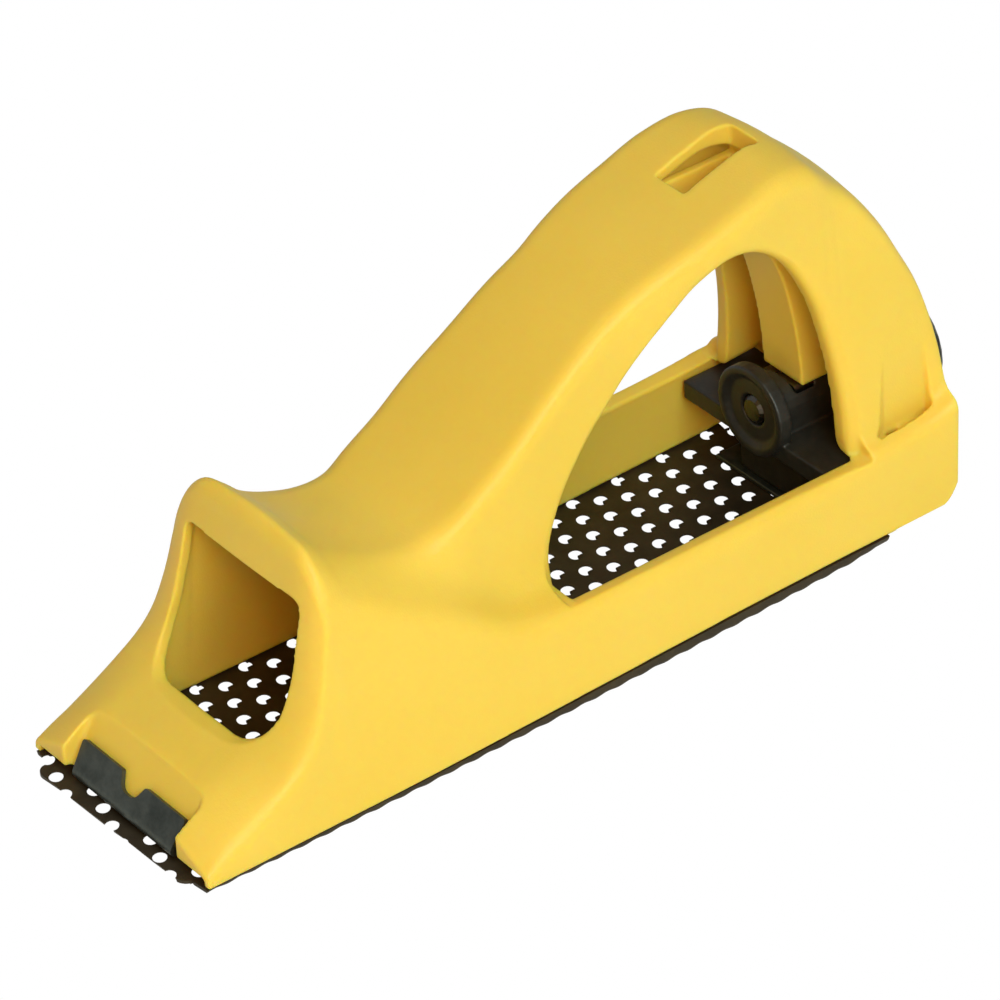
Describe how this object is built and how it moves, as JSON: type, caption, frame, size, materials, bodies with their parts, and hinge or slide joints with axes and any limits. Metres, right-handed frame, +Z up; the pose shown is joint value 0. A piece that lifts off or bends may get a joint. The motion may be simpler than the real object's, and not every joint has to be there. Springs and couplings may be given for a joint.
{
  "type": "rasp plane",
  "caption": "Hand rasp plane: hollow moulded handle with a finger gap, a bowed toothed steel strip hooked over its toe, and a rear thumb screw that tightens it.",
  "frame": {"origin": "centre of the part's bounding box, on the plane its teeth stand on", "axes": "+X towards the heel and the thumb screw, +Y across the tool, +Z up; the teeth point down"},
  "size_m": [0.161, 0.0466, 0.0739],
  "materials": {
    "body_plastic": "moulded yellow plastic, satin",
    "strip_steel": "hardened steel, dark brown",
    "hook_steel": "dark grey steel, lightly worn",
    "black_plastic": "moulded black plastic",
    "plated_steel": "plated steel"
  },
  "bodies": {
    "housing": {"body_shell": "body_plastic"},
    "screw": {"screw_stud": "plated_steel", "thumb_knob": "black_plastic", "thrust_washer": "plated_steel"},
    "slider": {"tension_slider": "black_plastic", "captive_nut": "plated_steel"},
    "strip": {"toothed_strip": "strip_steel", "toe_hook": "hook_steel", "heel_hook": "hook_steel"}
  },
  "joints": [
    {"name": "tension_screw", "type": "hinge", "parent": "housing", "child": "screw", "pos_m": [0.0735, 0, 0.0212], "axis": [1, 0, 0], "range_deg": [0, 2160]},
    {"name": "slider_slide", "type": "slide", "parent": "housing", "child": "slider", "axis": [-1, 0, 0], "range_m": [0, 0.0048]},
    {"name": "strip_drop", "type": "hinge", "parent": "housing", "child": "strip", "pos_m": [-0.0753, 0, 0.0085], "axis": [0, 1, 0], "range_deg": [0, 2.6]}
  ],
  "couplings": [
    {"joint": "slider_slide", "follows": "tension_screw", "m_per_rad": 0.00012732},
    {"joint": "strip_drop", "follows": "tension_screw", "ratio": 0.0012037}
  ]
}
